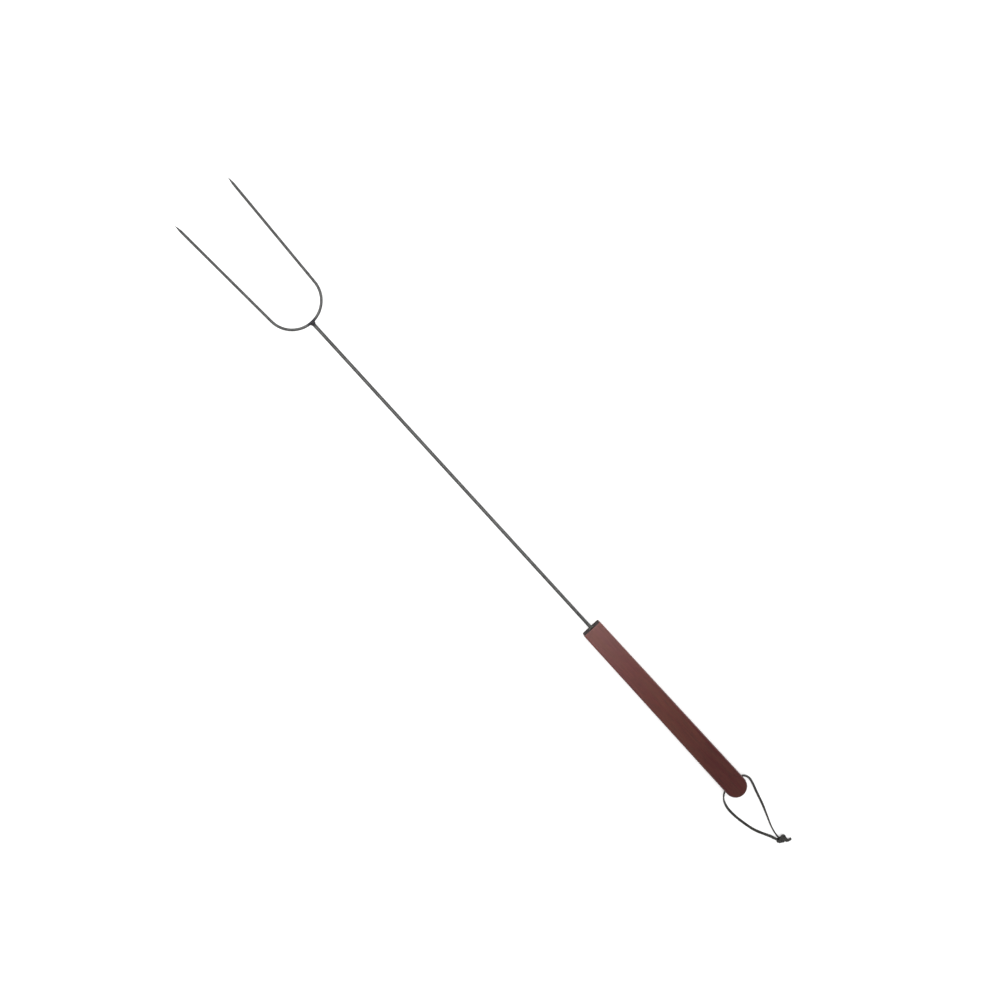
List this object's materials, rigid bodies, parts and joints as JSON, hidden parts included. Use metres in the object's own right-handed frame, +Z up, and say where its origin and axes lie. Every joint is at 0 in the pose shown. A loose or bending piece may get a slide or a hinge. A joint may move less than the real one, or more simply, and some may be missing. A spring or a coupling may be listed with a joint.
{
  "type": "roasting fork",
  "caption": "Long roasting fork: pointed steel wire prongs on a slim steel rod, a flat dark wooden handle with a round butt, and a knotted hanging loop that swings in it.",
  "frame": {"origin": "bottom centre of the fork without its loop: midway between the points and the butt, on the middle plane, level with the handle's flat underside", "axes": "+X from the butt to the points, +Y to the left when the points face forward, +Z up through the handle's thickness"},
  "size_m": [0.9827, 0.083, 0.018],
  "materials": {
    "prong_steel": "drawn steel wire, dark mill finish",
    "rod_steel": "drawn steel rod, grey mill finish",
    "weld_steel": "dark heat-tinted weld bead",
    "varnished_wood": "mahogany stain under satin varnish",
    "glue": "set dark adhesive",
    "lace_leather": "waxed dark leather lace"
  },
  "bodies": {
    "fork": {"fork_prongs": "prong_steel", "shaft_rod": "rod_steel", "junction_weld": "weld_steel", "handle": "varnished_wood", "tang_glue": "glue"},
    "loop": {"loop_in_hole": "lace_leather", "loop_left_leg": "lace_leather", "loop_right_leg": "lace_leather", "loop_knot": "lace_leather"}
  },
  "joints": [
    {"name": "loop_swing", "type": "hinge", "parent": "fork", "child": "loop", "pos_m": [-0.437, 0, 0.009], "axis": [0, 1, 0], "range_deg": [-135, 165]}
  ]
}
